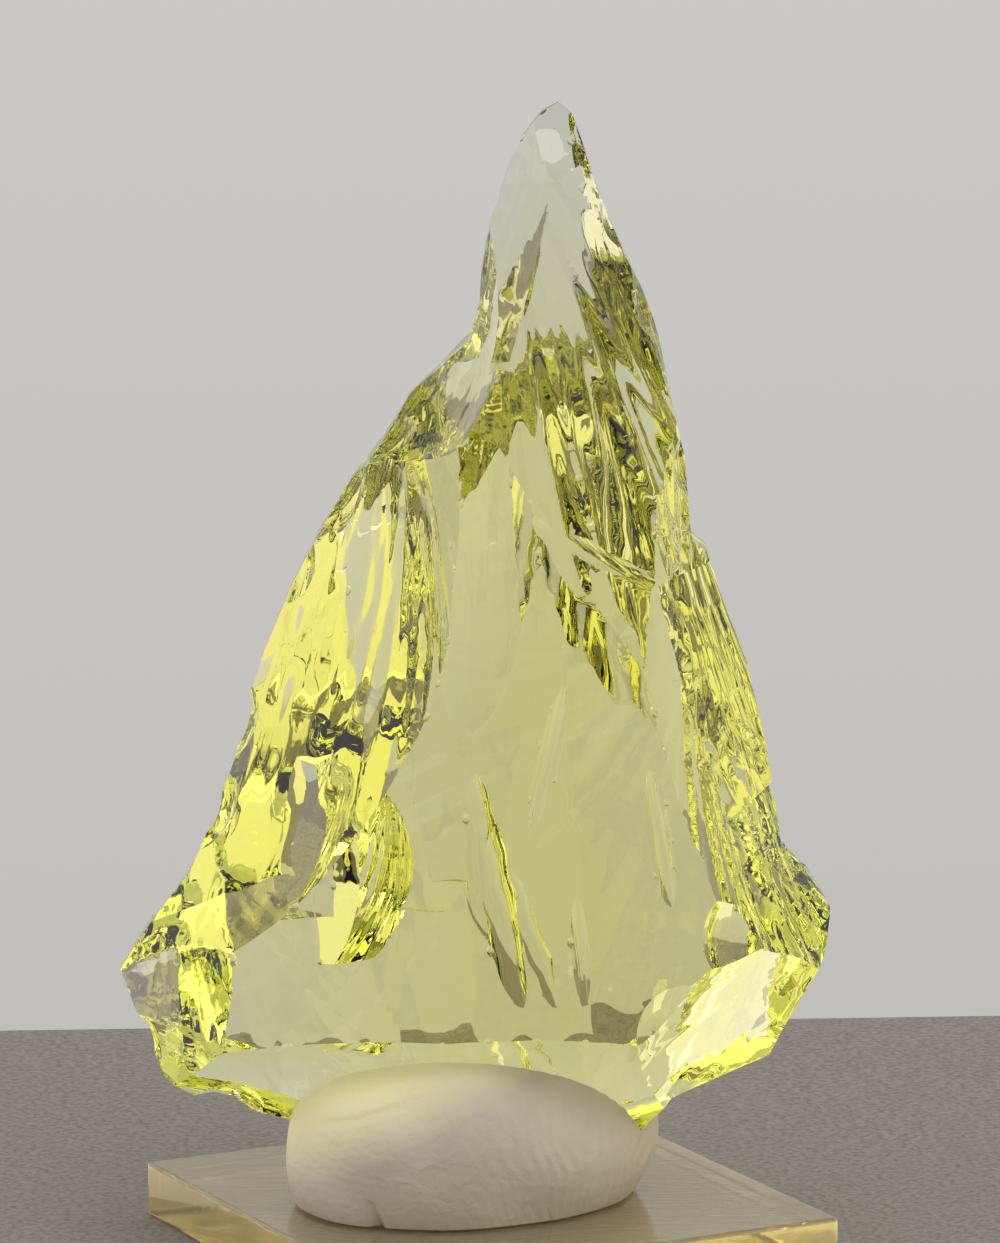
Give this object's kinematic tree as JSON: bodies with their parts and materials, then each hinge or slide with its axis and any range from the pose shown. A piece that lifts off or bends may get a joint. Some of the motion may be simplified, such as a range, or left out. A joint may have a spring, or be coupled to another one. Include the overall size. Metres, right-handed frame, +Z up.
{
  "type": "raw glass crystal on a putty and acrylic stand",
  "caption": "Upright chunk of clear yellow-green raw glass with shell-shaped fracture faces, its foot pressed in a putty lump on a flat acrylic block.",
  "frame": {"origin": "centre of the acrylic base's underside, on the surface that it stands on", "axes": "+Z up, along the crystal's height; the crystal's broad fracture face looks towards -Y, and the spire leans towards +X"},
  "size_m": [0.0703, 0.0686, 0.1133],
  "materials": {
    "crystal_glass": "clear yellow-green glass, polished-looking fracture faces with fine hackle",
    "putty": "off-white kneaded mounting putty, matt, with fine finger marks",
    "acrylic": "clear cast acrylic with a faint honey tint, polished"
  },
  "bodies": {
    "root": {"crystal": "crystal_glass", "putty": "putty", "acrylic_base": "acrylic"}
  },
  "joints": []
}
